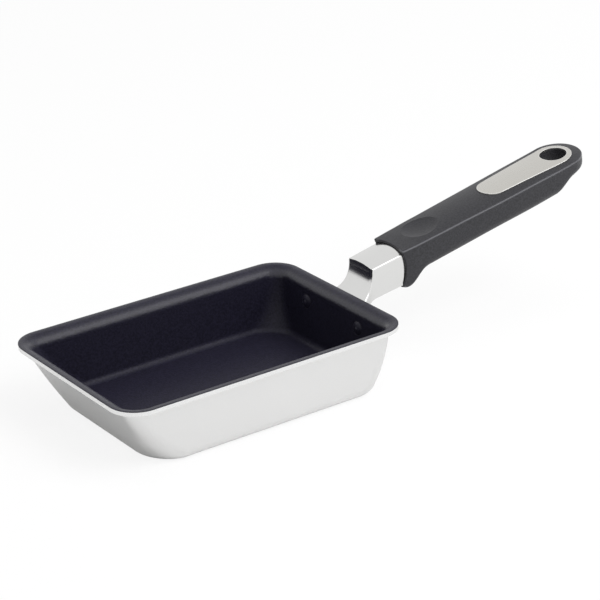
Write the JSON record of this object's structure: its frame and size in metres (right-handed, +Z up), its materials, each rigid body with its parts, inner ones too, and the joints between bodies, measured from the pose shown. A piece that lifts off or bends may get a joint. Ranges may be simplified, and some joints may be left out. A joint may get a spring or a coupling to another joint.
{
  "type": "tamagoyaki pan",
  "caption": "Rectangular non-stick omelette pan with a sloping tip wall, a riveted pressed-steel neck, and a moulded grip with an inset steel plate round its hanging hole",
  "frame": {"origin": "on the underside of the base, straight below the middle of the rim", "axes": "+X from the pan's tip to the handle, +Z up out of the pan's mouth, +Y to the left as seen from the tip; the pan is the same on both sides of the XZ plane"},
  "size_m": [0.3711, 0.125, 0.0903],
  "materials": {
    "pan_metal": "satin silver lacquer outside, bright cut edge at the rim",
    "coating": "satin near-black fluoropolymer",
    "rivet_metal": "satin",
    "bracket_steel": "satin",
    "grip_resin": "fine-textured charcoal resin",
    "plate_steel": "satin",
    "fastener_steel": "zinc plated"
  },
  "bodies": {
    "root": {"pan_body": "pan_metal", "nonstick_coating": "coating", "handle_rivets": "rivet_metal", "handle_bracket": "bracket_steel", "grip": "grip_resin", "hang_plate": "plate_steel", "grip_screw": "fastener_steel", "spring_washer": "fastener_steel", "tang_nut": "fastener_steel"}
  },
  "joints": []
}
